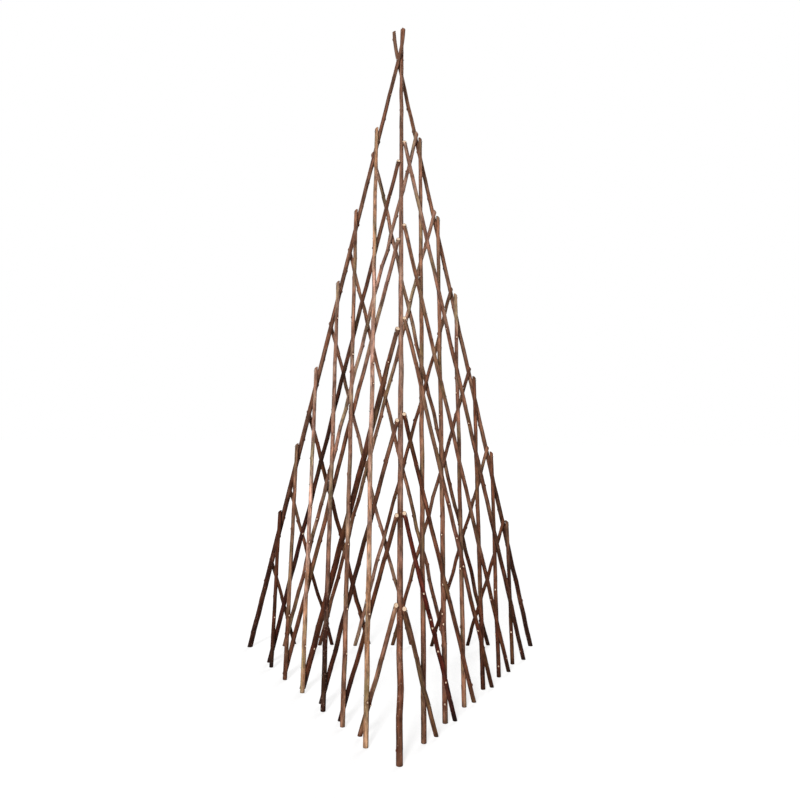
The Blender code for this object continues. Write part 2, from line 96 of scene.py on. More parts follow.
# Shares of an end's radius: bark, then the inner ring, then how far the wood's pattern reaches
BARK_SHARE = 0.15
INNER_RING = 0.55
WOOD_REACH = 0.82

# Bends: their size, waves per metre, the slice of the noise that they use, the kink at a
# bud, and the reach and power of the falloff that keeps a rod still at its foot and nails
CROOK = 0.0021
EDGE_CROOK = 0.0009
CROOK_WAVES = 8.0
CROOK_SLICE = 0.3
ZIGZAG = 0.0008
STILL_FOOT = 0.05
STILL_AT_NAIL = (0.028, 2)
EDGE_STILL_AT_NAIL = (0.07, 4)
# The tops of the edge rods bend a little towards each other: shift along +X at the tip
TIP_SHIFT = {"left_edge_rod": -0.0066, "right_edge_rod": 0.0060, "front_edge_rod": 0.0015}
TIP_RUN = 0.065
# The stout rod grows thicker inwards below its top nail, where no neighbour lies inside it
STOUT_ROD = "left_face_side_rod_3"
STOUT_GROWTH = 0.85
STOUT_START = 0.085
STOUT_RUN = 0.060

# Buds: first one above the foot, last one below the top, gaps, turns and sizes
FIRST_BUD = (0.020, 0.045)
LAST_BUD = 0.014
BUD_GAP = (0.036, 0.066)
BUD_TURN = math.radians(144.0)
BUD_TURN_SPREAD = 0.3
BUD_SIZES = (0.75, 1.15)
# A bud that would sit against a neighbour is turned on in steps, and left out if none helps
AVOID_STEPS = 12
AVOID_TURN = math.radians(30.0)
# No bud lies this near a nail, nor in the thin top of a lattice rod
CLEAR_OF_NAIL = 0.011
BARE_TOP = 0.075
# Folded, a neighbour lies along the rod for this far to both sides of their nail. Nothing
# swells within the first arc to either side of the nail, and no bud sits within the second
LAYER_REACH = 0.095
LAYER_ARC = math.radians(50.0)
BUD_ARC = math.radians(75.0)
# Swelling of the rod at a bud: height, length, the share that goes all round, and its end
NODE_SWELL = 0.0004
NODE_LENGTH = 0.004
NODE_ROUND = 0.45
NODE_END = 4.0
# Stain round a twig and ring round a bud: their strength, and how they fade along and around
TWIG_STAIN = 0.75
BUD_RING = 0.45
MARK_FADE = (0.45, 1.6)

# Trimmed twigs: profile is height and width of the collar, in shares. The rim is the share
# of its top that is cut wood
TWIG_RADIUS = 0.0020
TWIG_HEIGHT = 0.0010
TWIG_OVAL = 1.25
TWIG_SIDES = 12
TWIG_PROFILE = ((-0.5, 1.25), (0.35, 1.12), (0.85, 0.98), (1.0, 0.86))
TWIG_RIM = 0.88
COLLAR_STAIN = 0.8
# Buds: profile is run along the bud and width, in shares. The shade is their dark base
BUD_RADIUS = 0.0013
BUD_LENGTH = 0.0062
BUD_FLATNESS = 0.95
BUD_SINK = 0.0003
BUD_SIDES = 8
BUD_PROFILE = ((0.0, 0.45), (0.12, 0.85), (0.32, 1.0), (0.58, 0.82), (0.82, 0.45), (1.0, 0.08))
BUD_SHADE = 0.35

# Nails: a head's profile is height over its seat and radius, in shares of the head's. The
# shank shows between two heights, and its point is a share of its radius
HEAD_RADIUS = 0.0018
HEAD_HEIGHT = 0.0008
SHANK_RADIUS = 0.0008
SHANK_SHOWN = (-2.0, -0.5)
HEAD_PROFILE = ((-0.375, 0.94), (0.0, 1.0), (0.5, 1.0), (1.0, 0.82))
POINT_LENGTH = 0.0012
POINT_RADIUS = 0.3
NAIL_SIDES = 14

# The noise sees every rod as a cylinder of this radius
PATTERN_RADIUS = 0.005
# Random draws: each rod has its own seed, its own place in the noise and its own brightness
FIRST_SEED = 1000
NOISE_STEP = 3.7
BRIGHTNESS = (0.95, 1.06)

# Tones of the bark, as linear colours
TONES = {
    "ash": (0.440, 0.288, 0.222),
    "tan": (0.400, 0.238, 0.140),
    "mauve": (0.302, 0.180, 0.130),
    "olive": (0.222, 0.118, 0.074),
    "brown": (0.162, 0.080, 0.050),
    "red": (0.128, 0.054, 0.030),
    "umber": (0.080, 0.027, 0.013),
    "maroon": (0.078, 0.014, 0.008),
    "dark": (0.044, 0.015, 0.008),
    "wine": (0.034, 0.008, 0.005),
}
# Tints of the mottled bark, which multiply a tone, and the noise values that they stand at
PINKISH = (1.01, 0.92, 0.97)
RUDDY = (1.07, 0.88, 0.78)
PLAIN = (0.99, 0.98, 0.98)
GREENISH = (0.92, 1.06, 0.84)
TINT_STOPS = (0.32, 0.44, 0.54, 0.66)
TINTS = (PINKISH, RUDDY, PLAIN, GREENISH)
EDGE_TINTS = (PINKISH, RUDDY, PLAIN, PLAIN)
# Tones of each rod at its top, middle and foot. Their darkening towards the foot is partly painted
# shade, for the light that falls from above, and partly the rod's own tone
BARK = {
    "front_edge_rod": ("brown", "mauve", "red"),
    "left_edge_rod": ("brown", "brown", "dark"),
    "right_edge_rod": ("olive", "olive", "dark"),
    "left_face_front_rod": (("tan", "ash", "tan"), ("olive", "mauve", "olive"),
                            ("mauve", "mauve", "dark"), ("mauve", "ash", "tan"),
                            ("olive", "olive", "red"), ("umber", "umber", "dark")),
    "left_face_side_rod": (("brown", "dark", "wine"), ("mauve", "red", "red"),
                           ("brown", "umber", "umber"), ("brown", "dark", "dark"),
                           ("red", "umber", "wine"), ("olive", "olive", "red")),
    "right_face_front_rod": (("olive", "olive", "brown"), ("olive", "olive", "brown"),
                             ("mauve", "brown", "olive"), ("red", "red", "umber"),
                             ("red", "red", "umber"), ("brown", "dark", "umber")),
    "right_face_side_rod": (("mauve", "brown", "dark"), ("olive", "brown", "umber"),
                            ("olive", "brown", "umber"), ("umber", "red", "red"),
                            ("maroon", "maroon", "wine"), ("red", "brown", "red")),
    "back_face_left_rod": (("mauve", "mauve", "brown"), ("mauve", "olive", "red"),
                           ("brown", "red", "mauve"), ("brown", "brown", "red"),
                           ("olive", "red", "umber"), ("red", "umber", "umber")),
    "back_face_right_rod": (("mauve", "olive", "umber"), ("olive", "olive", "brown"),
                            ("brown", "mauve", "brown"), ("umber", "umber", "umber"),
                            ("olive", "umber", "dark"), ("red", "umber", "dark")),
}
# Where the tones of the top, the middle, the middle and the foot stand along a rod
TONE_STOPS = (0.12, 0.40, 0.58, 0.80)
# Noise on the bark: scale, detail, and a stretch that draws it out along the rod
STREAKS = (520.0, 3.0, (1.0, 1.0, 0.045))
BLOTCHES = (80.0, 4.0, (1.0, 1.0, 0.2))
FLECKS = (200.0, 3.0, (1.0, 1.0, 0.25))
HUES = (60.0, 3.0, (1.0, 1.0, 0.22))
DRIFT = (11.0, 2.0)
# Pores: scale, stretch, reach and core, then how strong and how pale they are
PORES = (300.0, (1.0, 1.0, 0.5), 0.20, 0.12)
PORE_SHARE = 0.5
PORE_GAIN = 1.7
PORE_LIFT = 0.06
# Spans: lowest and highest noise value, and what they give: brightness, a shift of the
# tones along the rod, the share of the painted sheen, and roughness
STREAK_LIGHT = (0.28, 0.72, 0.50, 1.48)
BLOTCH_LIGHT = (0.28, 0.66, 0.56, 1.26)
FLECK_LIGHT = (0.32, 0.68, 0.48, 1.56)
DRIFT_SHIFT = (0.25, 0.75, -0.22, 0.22)
PAINTED_SHEEN_SHARE = (0.55, 0.78, 0.0, 0.40)
BARK_ROUGHNESS = (0.3, 0.7, 0.58, 0.80)
# The painted sheen is the middle tone with this share of mauve, put into the colour in random patches
# in place of the bark's sheen
PAINTED_SHEEN_MAUVE = 0.25
# Rods whose foot tone is dark grow much darker still at the foot, the others a little: where that
# starts and ends, and the brightness left
DARK_FOOT_TONES = ("dark", "wine", "umber")
FOOT_SPAN = (0.93, 0.99)
DARKEST_FOOT_BRIGHTNESS = 0.42
OTHER_FOOT_BRIGHTNESS = 0.90
# Relief of the bark: shares of the streaks and pores, then strength and depth
STREAK_RELIEF = 0.7
PORE_RELIEF = 0.25
BARK_BUMP = (0.55, 0.0005)
BARK_GLOSS = 0.08

# Cut wood and nails
WOOD = (0.800, 0.610, 0.440)
WOOD_EDGE = (0.480, 0.280, 0.170)
PITH = (0.330, 0.190, 0.110)
WOOD_STOPS = (0.05, 0.15, 0.72, 0.92)
RING_SCALE = 380.0
RING_WOBBLE = 1.8
GRAIN = (0.82, 0.77, 0.70)
GRAIN_STOPS = (0.2, 0.8)
GRAIN_SHARE = 0.6
WOOD_ROUGHNESS = 0.78
WOOD_SOIL = (0.90, 1.0, 1.0, 0.42)
WOOD_BUMP = (0.3, 0.0002)
STEEL = (0.420, 0.400, 0.370)
STEEL_DULL = 0.6
STEEL_STOPS = (0.3, 0.7)
DIE_MARKS = (900.0, 2.0)
STEEL_ROUGHNESS = (0.2, 0.8, 0.30, 0.55)
STEEL_BUMP = (0.3, 0.0001)

# Floor: its grey, the glow that makes it white where it is seen, its half size and its place
FLOOR = 0.35
FLOOR_GLOW = 0.75
FLOOR_HALF = 12.0
FLOOR_DROP = 0.0005
FLOOR_ROUGHNESS = 0.9

# Light: strength of the sky, then each lamp's name, place, strength and spread in degrees
SKY = 0.14
LAMPS = (
    ("key", (-1.0, -3.6, 1.9), 3.10, 12.0),
    ("fill", (2.6, -2.4, 1.2), 0.15, 40.0),
    ("back", (1.2, 2.8, 2.2), 1.8, 30.0),
)

# Share of a rod's buds that are trimmed twigs instead
TRIMMED = 0.3
TRIMMED_WELL = 0.85
WELL_TRIMMED_RODS = ("right_face_side_rod_5", "right_face_front_rod_2", "right_face_front_rod_5",
                     "right_face_front_rod_6", "right_face_side_rod_3")

# Pale scars that face the camera in the photograph: distances down from the rod's top,
# the room that other buds leave them, and their size
SCARS_SEEN = {
    "right_face_side_rod_5": (0.166, 0.239, 0.288, 0.355),
    "right_face_side_rod_3": (0.490, 0.555),
    "right_face_front_rod_2": (0.870, 0.949, 1.041, 1.100),
    "right_face_front_rod_5": (0.341, 0.514),
    "right_face_front_rod_6": (0.275,),
}
SCAR_ROOM = 0.016
SCAR_SIZE = 1.05

FACE_EDGES = {
    "right_face": ("front_edge_rod", "right_edge_rod"),
    "left_face": ("front_edge_rod", "left_edge_rod"),
    "back_face": ("right_edge_rod", "left_edge_rod"),
}
EDGES = ("front_edge_rod", "right_edge_rod", "left_edge_rod")
BODY_OF = {node: body for body, nodes in BEHAVIOUR["bodies"].items() for node in nodes}
ROD_NODES = [node for node in frame["nodes"] if "_rod" in node]


def unit(v):
    return v / np.linalg.norm(v)


def face_pins():
    """Outward nail direction of each face, read from the joints."""
    pins = {}
    for joint in BEHAVIOUR["joints"]:
        for face in FACE_EDGES:
            if joint["name"].startswith(face):
                axis = unit(np.array(joint["axis"]))
                outward = float(axis @ (np.array(joint["pos_m"]) - INSIDE)) > 0.0
                pins[face] = axis if outward else -axis
    return pins


PINS = face_pins()


# Measuring the solids

def face_of(node):
    return next((face for face in FACE_EDGES if node.startswith(face)), None)


def section(points, edges, origin, axis, across, out, t):
    """Middle and half widths of the section of a mesh at station t, or None."""
    along = (points - origin) @ axis - t
    a, b = edges[:, 0], edges[:, 1]
    cut = along[a] * along[b] < 0.0
    if cut.sum() < FEWEST_CUTS:
        return None
    a, b = a[cut], b[cut]
    share = along[a] / (along[a] - along[b])
    hits = points[a] + share[:, None] * (points[b] - points[a]) - origin - t * axis
    x, y = hits @ across, hits @ out
    return (x.max() + x.min()) / 2.0, (y.max() + y.min()) / 2.0, np.ptp(x) / 2.0, np.ptp(y) / 2.0


class Rod:
    """Axis, ends, radius and breadth of one rod, measured from its solid."""

    def __init__(self, node):
        mesh = frame["nodes"][node].data
        points = np.array([v.co for v in mesh.vertices])
        edges = np.array([e.vertices for e in mesh.edges])
        self.node = node
        self.edge = node in EDGES
        self.foot_height = float(points[:, 2].min())
        foot = points[points[:, 2] < self.foot_height + FOOT_BAND].mean(axis=0)
        axis = unit(foot - points.mean(axis=0))
        origin = foot
        pin = PINS[face_of(node)] if face_of(node) else unit(points.mean(axis=0) * (1.0, 1.0, 0.0))
        for _ in range(FIT_PASSES):
            across = unit(np.cross(axis, pin))
            out = np.cross(across, axis)
            top = float(((points - origin) @ axis).min())
            rows = []
            for t in np.linspace(top + FIT_BELOW_TOP, -FIT_ABOVE_FOOT, FIT_STATIONS):
                found = section(points, edges, origin, axis, across, out, t)
                if found is not None:
                    rows.append((t, *found))
            rows = np.array(rows)
            thickness = rows[:, 4]
            plain = rows[thickness < np.median(thickness) + NAIL_BULGE]
            stations, middle_x, middle_y, half_x, half_y = plain.T
            fit_x = np.polyfit(stations, middle_x, 1)
            fit_y = np.polyfit(stations, middle_y, 1)
            origin = origin + fit_x[1] * across + fit_y[1] * out
            axis = unit(axis + fit_x[0] * across + fit_y[0] * out)
        self.taper = np.polyfit(stations, half_y, 1)
        self.breadth = float(np.median(half_x / half_y)) if not self.edge else 1.0
        self.axis = axis
        self.across = across
        self.out = out
        self.origin = origin + axis * (self.foot_height - origin[2]) / axis[2]
        self.top = float(((points - self.origin) @ axis).min()) + TOP_TRIM
        self.crossings = []

    def radius(self, t):
        return float(np.polyval(self.taper, t)) - SKIN

    def centre(self, t):
        return self.origin + t * self.axis

    def spoke(self, angle):
        """Direction out of the bark: angle 0 points out of the face."""
        return math.cos(angle) * self.out + math.sin(angle) * self.across

    def angle_of(self, direction):
        return math.atan2(float(direction @ self.across), float(direction @ self.out))

    def free_run(self, t):
        return min([abs(t - place) for place, _ in self.crossings] + [1.0])

    def pressed(self, t, angle, arc=LAYER_ARC):
        """Whether a neighbour lies against the rod on this side, now or when it folds."""
        for place, direction in self.crossings:
            near = abs(t - place) < LAYER_REACH
            if near and abs(wrap(angle - self.angle_of(direction))) < arc:
                return True
        return False


def wrap(angle):
    return (angle + math.pi) % (2.0 * math.pi) - math.pi


def nearest(first, second):
    """Stations where two straight rods pass each other, and how far apart they are."""
    between = first.origin - second.origin
    alike = float(first.axis @ second.axis)
    on_first = float(first.axis @ between)
    on_second = float(second.axis @ between)
    spread = 1.0 - alike * alike
    if spread < PARALLEL:
        return None
    ta = (alike * on_second - on_first) / spread
    tb = (on_second - alike * on_first) / spread
    return ta, tb, float(np.linalg.norm(first.centre(ta) - second.centre(tb)))


def find_crossings(rods):
    """Every nailed crossing: face, outer rod and its station, inner rod and its station."""
    found = []
    for face, edges in FACE_EDGES.items():
        own = [rod for rod in rods if rod.node.startswith(face) or rod.node in edges]
        pin = PINS[face]
        for i, first in enumerate(own):
            for second in own[i + 1:]:
                near = nearest(first, second)
                if near is None:
                    continue
                ta, tb, apart = near
                touching = apart < first.radius(ta) + second.radius(tb) + TOUCH_GAP
                if not (touching and first.top < ta < 0.0 and second.top < tb < 0.0):
                    continue
                first_outside = float((first.centre(ta) - second.centre(tb)) @ pin) > 0.0
                outer, t_outer, inner, t_inner = first, ta, second, tb
                if not first_outside:
                    outer, t_outer, inner, t_inner = second, tb, first, ta
                found.append((face, outer, t_outer, inner, t_inner))
                outer.crossings.append((t_outer, -pin))
                inner.crossings.append((t_inner, pin))
    return found


# Materials

class Tree:
    """Short calls for building the nodes of one material."""

    def __init__(self, name):
        self.material = bpy.data.materials.new(name)
        self.material.use_nodes = True
        self.nodes = self.material.node_tree.nodes
        self.links = self.material.node_tree.links
        self.shader = self.nodes["Principled BSDF"]

    def put(self, socket, source):
        """Set a socket to a value, or link it to another socket."""
        if isinstance(source, bpy.types.NodeSocket):
            self.links.new(source, socket)
        elif isinstance(source, tuple) and len(socket.default_value) == 4:
            socket.default_value = (*source, 1.0)
        else:
            socket.default_value = source

    def attribute(self, name, output):
        node = self.nodes.new("ShaderNodeAttribute")
        node.attribute_name = name
        return node.outputs[output]

    def split(self, colour):
        node = self.nodes.new("ShaderNodeSeparateColor")
        self.put(node.inputs["Color"], colour)
        return node.outputs

    def scaled(self, vector, scale):
        node = self.nodes.new("ShaderNodeMapping")
        node.inputs["Scale"].default_value = scale
        self.put(node.inputs["Vector"], vector)
        return node.outputs["Vector"]

    def noise(self, vector, scale, detail, stretch=(1.0, 1.0, 1.0)):
        node = self.nodes.new("ShaderNodeTexNoise")
        node.inputs["Scale"].default_value = scale
        node.inputs["Detail"].default_value = detail
        self.put(node.inputs["Vector"], self.scaled(vector, stretch))
        return node.outputs["Fac"]

    def spots(self, vector, scale, stretch, reach, core):
        """One inside small scattered spots and zero between them."""
        node = self.nodes.new("ShaderNodeTexVoronoi")
        node.inputs["Scale"].default_value = scale
        self.put(node.inputs["Vector"], self.scaled(vector, stretch))
        return self.span(node.outputs["Distance"], reach, core, 0.0, 1.0)

    def span(self, value, low, high, to_low, to_high):
        node = self.nodes.new("ShaderNodeMapRange")
        self.put(node.inputs["Value"], value)
        node.inputs["From Min"].default_value = low
        node.inputs["From Max"].default_value = high
        node.inputs["To Min"].default_value = to_low
        node.inputs["To Max"].default_value = to_high
        return node.outputs["Result"]

    def math(self, operation, first, second):
        node = self.nodes.new("ShaderNodeMath")
        node.operation = operation
        self.put(node.inputs[0], first)
        self.put(node.inputs[1], second)
        return node.outputs[0]

    def ramp(self, value, stops):
        node = self.nodes.new("ShaderNodeValToRGB")
        elements = node.color_ramp.elements
        while len(elements) < len(stops):
            elements.new(0.5)
        for element, (place, colour) in zip(elements, stops):
            element.position = place
            element.color = (*colour, 1.0)
        self.put(node.inputs["Fac"], value)
        return node.outputs["Color"]

    def mix(self, share, first, second, blend="MIX"):
        node = self.nodes.new("ShaderNodeMix")
        node.data_type = "RGBA"
        node.blend_type = blend
        self.put(node.inputs["Factor"], share)
        # This node has sockets for every data type: 6, 7 and output 2 are those for colour
        self.put(node.inputs[6], first)
        self.put(node.inputs[7], second)
        return node.outputs[2]

    def bright(self, colour, value):
        node = self.nodes.new("ShaderNodeVectorMath")
        node.operation = "SCALE"
        self.put(node.inputs[0], colour)
        self.put(node.inputs["Scale"], value)
        return node.outputs["Vector"]

    def bump(self, height, strength, distance):
        node = self.nodes.new("ShaderNodeBump")
        node.inputs["Strength"].default_value = strength
        node.inputs["Distance"].default_value = distance
        self.put(node.inputs["Height"], height)
        self.put(self.shader.inputs["Normal"], node.outputs["Normal"])


def bark_material(name, tones, tints, value):
    """Young willow bark: tones that drift along the rod and darken towards the foot, partly as painted
    shade, fine lengthwise streaks, blotches with patches of painted sheen, flecks, pale pores, a darker
    foot, a dark ring at each bud and a red stain at each twig."""
    tree = Tree(name)
    where = tree.attribute("rod_place", "Vector")
    marks = tree.split(tree.attribute("marks", "Color"))
    streaks = tree.noise(where, *STREAKS)
    blotches = tree.noise(where, *BLOTCHES)
    drift = tree.noise(where, *DRIFT)
    along = tree.math("ADD", marks["Blue"], tree.span(drift, *DRIFT_SHIFT))
    # The tones darken towards the foot: partly painted shade, for light falling from above, partly the
    # bark's own tone
    top, middle, foot = (tuple(c * value for c in TONES[tone]) for tone in tones)
    base = tree.ramp(along, tuple(zip(TONE_STOPS, (top, middle, middle, foot))))
    # Painted sheen: a pale mauve mixed into the colour in random patches
    painted_sheen = tuple((1.0 - PAINTED_SHEEN_MAUVE) * c + PAINTED_SHEEN_MAUVE * m for c, m in zip(middle, TONES["mauve"]))
    base = tree.mix(tree.span(blotches, *PAINTED_SHEEN_SHARE), base, painted_sheen)
    hue = tree.noise(where, *HUES)
    base = tree.mix(1.0, base, tree.ramp(hue, tuple(zip(TINT_STOPS, tints))), "MULTIPLY")
    flecks = tree.noise(where, *FLECKS)
    base = tree.bright(base, tree.span(streaks, *STREAK_LIGHT))
    base = tree.bright(base, tree.span(blotches, *BLOTCH_LIGHT))
    base = tree.bright(base, tree.span(flecks, *FLECK_LIGHT))
    # Darker towards the foot, much darker on rods whose foot tone is dark
    foot_light = DARKEST_FOOT_BRIGHTNESS if tones[2] in DARK_FOOT_TONES else OTHER_FOOT_BRIGHTNESS
    base = tree.bright(base, tree.span(marks["Blue"], *FOOT_SPAN, 1.0, foot_light))
    pores = tree.spots(where, *PORES)
    pale = tuple(min(1.0, PORE_GAIN * c + PORE_LIFT) for c in middle)
    base = tree.mix(tree.math("MULTIPLY", pores, PORE_SHARE), base, pale)
    base = tree.mix(marks["Green"], base, TONES["dark"])
    base = tree.mix(marks["Red"], base, TONES["maroon"])
    tree.put(tree.shader.inputs["Base Color"], base)
    tree.put(tree.shader.inputs["Roughness"], tree.span(blotches, *BARK_ROUGHNESS))
    tree.shader.inputs["Specular IOR Level"].default_value = BARK_GLOSS
    ridges = tree.math("MULTIPLY", streaks, STREAK_RELIEF)
    pimples = tree.math("MULTIPLY", pores, PORE_RELIEF)
    tree.bump(tree.math("ADD", ridges, pimples), *BARK_BUMP)
    return tree.material


def wood_material():
    """Pale cut wood with growth rings, a darker pith and a soiled foot."""
    tree = Tree("cut_wood")
    place = tree.attribute("cut_place", "Vector")
    marks = tree.split(tree.attribute("marks", "Color"))
    rings = tree.nodes.new("ShaderNodeTexWave")
    rings.wave_type = "RINGS"
    rings.rings_direction = "Z"
    rings.inputs["Scale"].default_value = RING_SCALE
    rings.inputs["Distortion"].default_value = RING_WOBBLE
    tree.put(rings.inputs["Vector"], place)
    length = tree.nodes.new("ShaderNodeVectorMath")
    length.operation = "LENGTH"
    tree.put(length.inputs[0], place)
    base = tree.ramp(length.outputs["Value"], tuple(zip(WOOD_STOPS, (PITH, WOOD, WOOD, WOOD_EDGE))))
    grain = tree.ramp(rings.outputs["Fac"], tuple(zip(GRAIN_STOPS, (GRAIN, (1.0, 1.0, 1.0)))))
    base = tree.mix(GRAIN_SHARE, base, grain, "MULTIPLY")
    base = tree.bright(base, tree.span(marks["Blue"], *WOOD_SOIL))
    tree.put(tree.shader.inputs["Base Color"], base)
    tree.shader.inputs["Roughness"].default_value = WOOD_ROUGHNESS
    tree.bump(rings.outputs["Fac"], *WOOD_BUMP)
    return tree.material


def steel_material():
    """Plain wire nail, a little dulled, with faint die marks."""
    tree = Tree("nail_steel")
    place = tree.nodes.new("ShaderNodeTexCoord").outputs["Object"]
    fine = tree.noise(place, *DIE_MARKS)
    dull = tuple(c * STEEL_DULL for c in STEEL)
    base = tree.ramp(fine, tuple(zip(STEEL_STOPS, (dull, STEEL))))
    tree.put(tree.shader.inputs["Base Color"], base)
    tree.shader.inputs["Metallic"].default_value = 1.0
    tree.put(tree.shader.inputs["Roughness"], tree.span(fine, *STEEL_ROUGHNESS))
    tree.bump(fine, *STEEL_BUMP)
    return tree.material


# Rods

def place_buds(rod, rng):
    """Buds spiral up the rod. None sits on a nail or against a neighbour."""
    trimmed = TRIMMED_WELL if rod.node in WELL_TRIMMED_RODS else TRIMMED
    buds = []
    t = -rng.uniform(*FIRST_BUD)
    turn = rng.uniform(0.0, 2.0 * math.pi)
    while t > rod.top + LAST_BUD:
        size = rng.uniform(*BUD_SIZES)
        is_twig = rng.random() < trimmed
        angle = turn
        for _ in range(AVOID_STEPS):
            if not rod.pressed(t, angle, BUD_ARC):
                break
            angle += AVOID_TURN
        bare = not rod.edge and t < rod.top + BARE_TOP
        if rod.free_run(t) > CLEAR_OF_NAIL and not bare and not rod.pressed(t, angle, BUD_ARC):
            buds.append((t, wrap(angle), size, is_twig))
        turn += BUD_TURN + rng.uniform(-BUD_TURN_SPREAD, BUD_TURN_SPREAD)
        t -= rng.uniform(*BUD_GAP)
    for distance in SCARS_SEEN.get(rod.node, ()):
        place = rod.top + distance
        buds = [bud for bud in buds if abs(bud[0] - place) > SCAR_ROOM]
        to_camera = rod.angle_of(np.array(CAMERA_PLACE) - rod.centre(place))
        buds.append((place, to_camera, SCAR_SIZE, True))
    return sorted(buds, reverse=True)


def crook(rod, t, buds, seed):
    """Sideways wander of the rod, with a slight kink at each bud. None at a nail."""
    still = 1.0 - math.exp(-(t / STILL_FOOT) ** 2)
    reach, power = EDGE_STILL_AT_NAIL if rod.edge else STILL_AT_NAIL
    for place, _ in rod.crossings:
        still *= 1.0 - math.exp(-(abs(t - place) / reach) ** power)
    size = EDGE_CROOK if rod.edge else CROOK
    wander = 2.0 * size * noise.noise(Vector((t * CROOK_WAVES, seed, CROOK_SLICE)))
    kink = 0.0
    for k in range(1, len(buds)):
        low, high = buds[k - 1][0], buds[k][0]
        if high <= t <= low:
            share = (low - t) / (low - high)
            kink = ZIGZAG * (-1) ** k * (1.0 - 2.0 * share)
    return still * (wander + kink)


def tip_bend(rod, t):
    """Shift of the overrun of an edge rod above the apex."""
    share = max(0.0, 1.0 - (t - rod.top) / TIP_RUN)
    return np.array((TIP_SHIFT.get(rod.node, 0.0) * share * share, 0.0, 0.0))


def bark_point(rod, t, angle, buds, seed):
    """A point of the bark with its marks: twig stain and bud ring."""
    radius = rod.radius(t)
    x, y = math.cos(angle) * LUMP_ROUND, math.sin(angle) * LUMP_ROUND
    swell = LUMP * noise.noise(Vector((x, y, t * LUMP_WAVES + seed)))
    stain = ring = 0.0
    for place, turn, size, is_twig in buds:
        along = (t - place) / NODE_LENGTH
        if abs(along) > NODE_END:
            continue
        around = wrap(angle - turn)
        facing = NODE_ROUND + (1.0 - NODE_ROUND) * math.cos(around)
        swell += NODE_SWELL * size * math.exp(-along * along) * facing
        near = math.exp(-(along * along * MARK_FADE[0] + around * around * MARK_FADE[1]))
        if is_twig:
            stain = max(stain, TWIG_STAIN * near)
        else:
            ring = max(ring, BUD_RING * near)
    if swell > 0.0 and rod.pressed(t, angle):
        swell = 0.0
    side = rod.breadth * (radius + swell) * math.sin(angle)
    out = (radius + swell) * math.cos(angle)
    if rod.node == STOUT_ROD and out < 0.0:
        out *= 1.0 + STOUT_GROWTH * min(1.0, max(0.0, (t - rod.top - STOUT_START) / STOUT_RUN))
    point = rod.centre(t) + out * rod.out + side * rod.across
    return point + crook(rod, t, buds, seed) * rod.across + tip_bend(rod, t), stain, ring


def rod_stations(rod, buds):
    stations = set(np.arange(rod.top, -LAST_ROW, STATION).round(5))
    for place, _, _, _ in buds:
        stations = {t for t in stations if abs(t - place) > FINE_RUN}
        stations.update(round(place + step, 5) for step in FINE_STEPS)
    stations = sorted(t for t in stations if rod.top + TOP_MARGIN < t < -FOOT_MARGIN)
    return [rod.top] + stations + [0.0]


def finished(bm, name, materials):
    """Turn a bmesh into an object with these materials."""
    bmesh.ops.recalc_face_normals(bm, faces=bm.faces)
    mesh = bpy.data.meshes.new(name)
    bm.to_mesh(mesh)
    bm.free()
    piece = bpy.data.objects.new(name, mesh)
    bpy.context.scene.collection.objects.link(piece)
    for material in materials:
        mesh.materials.append(material)
    return piece


class RodMesh:
    """A bmesh with the attributes that the bark and wood materials read.

    rod_place is where the bark reads its noise, and cut_place is the place on a cut end.
    marks holds the twig stain in red, the bud ring in green, and in blue the place along
    the rod, from 0 at its top to 1 at its foot.
    """

    def __init__(self, rod, seed):
        self.rod = rod
        self.seed = seed
        self.bm = bmesh.new()
        self.place = self.bm.verts.layers.float_vector.new("rod_place")
        self.cut = self.bm.verts.layers.float_vector.new("cut_place")
        self.marks = self.bm.verts.layers.float_color.new("marks")

    def vert(self, point, t, angle, stain=0.0, ring=0.0):
        new = self.bm.verts.new(point)
        rod = self.rod
        x, y = math.cos(angle) * PATTERN_RADIUS, math.sin(angle) * PATTERN_RADIUS
        new[self.place] = (x, y, t + self.seed)
        new[self.marks] = (min(stain, 1.0), min(ring, 1.0), 1.0 - t / rod.top, 1.0)
        return new

    def bridge(self, upper, lower, material=0, smooth=True):
        for a in range(len(upper)):
            b = (a + 1) % len(upper)
            face = self.bm.faces.new((upper[a], upper[b], lower[b], lower[a]))
            face.material_index = material
            face.smooth = smooth

    def cap(self, row, t, rim):
        """Close an end: a rim of bark, then rings of wood round the pith."""
        middle = sum((v.co for v in row), Vector()) / len(row)
        rings = [row]
        for share in (rim, rim * INNER_RING):
            ring = []
            for k, vert in enumerate(row):
                angle = 2.0 * math.pi * k / len(row)
                new = self.vert(middle + (vert.co - middle) * share, t, angle)
                reach = share / rim * WOOD_REACH
                new[self.cut] = (reach * math.cos(angle), reach * math.sin(angle), 0.0)
                ring.append(new)
            self.bridge(rings[-1], ring, material=0 if len(rings) == 1 else 1, smooth=False)
            rings.append(ring)
        heart = self.vert(middle, t, 0.0)
        for a in range(len(row)):
            face = self.bm.faces.new((rings[-1][a], rings[-1][(a + 1) % len(row)], heart))
            face.material_index = 1


